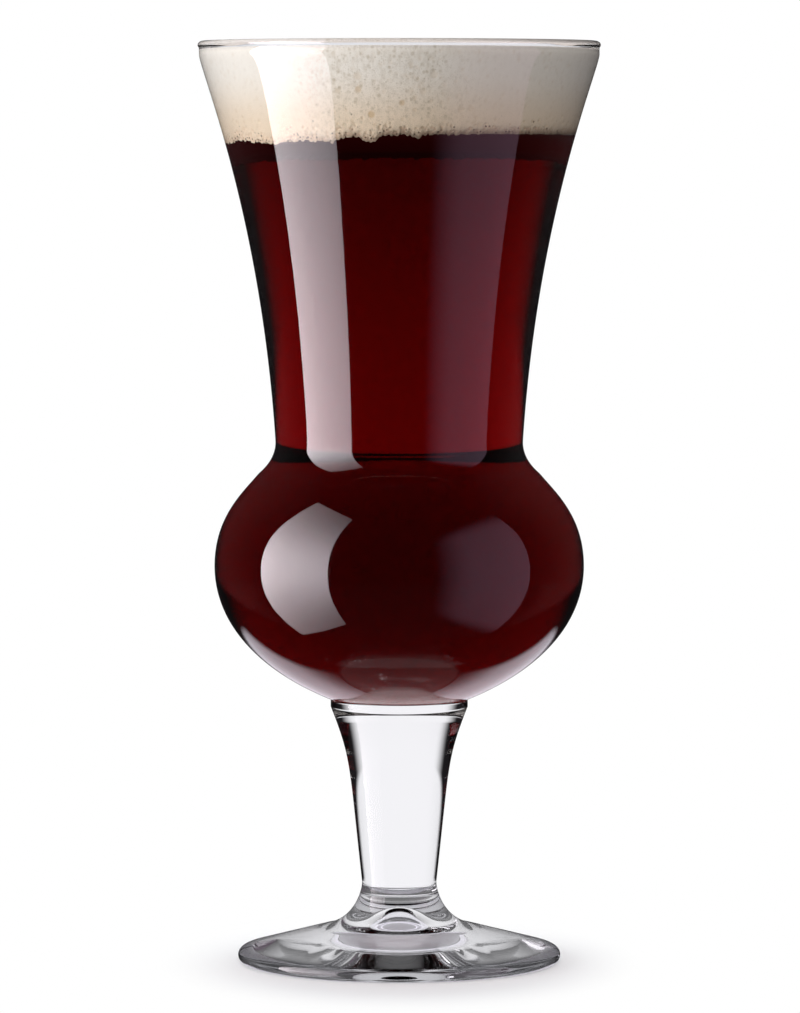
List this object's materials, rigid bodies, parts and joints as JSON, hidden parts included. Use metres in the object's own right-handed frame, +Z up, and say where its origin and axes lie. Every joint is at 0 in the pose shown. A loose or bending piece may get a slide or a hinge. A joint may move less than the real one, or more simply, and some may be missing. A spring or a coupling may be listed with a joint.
{
  "type": "thistle beer glass",
  "caption": "Thistle-shaped stemmed glass with a round bulb, a tall flared mouth, a solid flared stem and a disc foot, filled with dark beer under a head of foam.",
  "frame": {"origin": "centre of the foot's resting plane", "axes": "+Z up along the glass's axis of revolution, towards the rim"},
  "size_m": [0.087, 0.087, 0.2],
  "materials": {
    "foot_glass": "clear, fire polished",
    "stem_glass": "clear, fire polished",
    "bowl_glass": "clear, fire polished",
    "beer": "dark ruby liquid, clear in thin layers",
    "foam": "cream foam with small bubbles"
  },
  "bodies": {
    "root": {"foot": "foot_glass", "stem": "stem_glass", "bowl": "bowl_glass", "beer": "beer", "foam_head": "foam"}
  },
  "joints": []
}
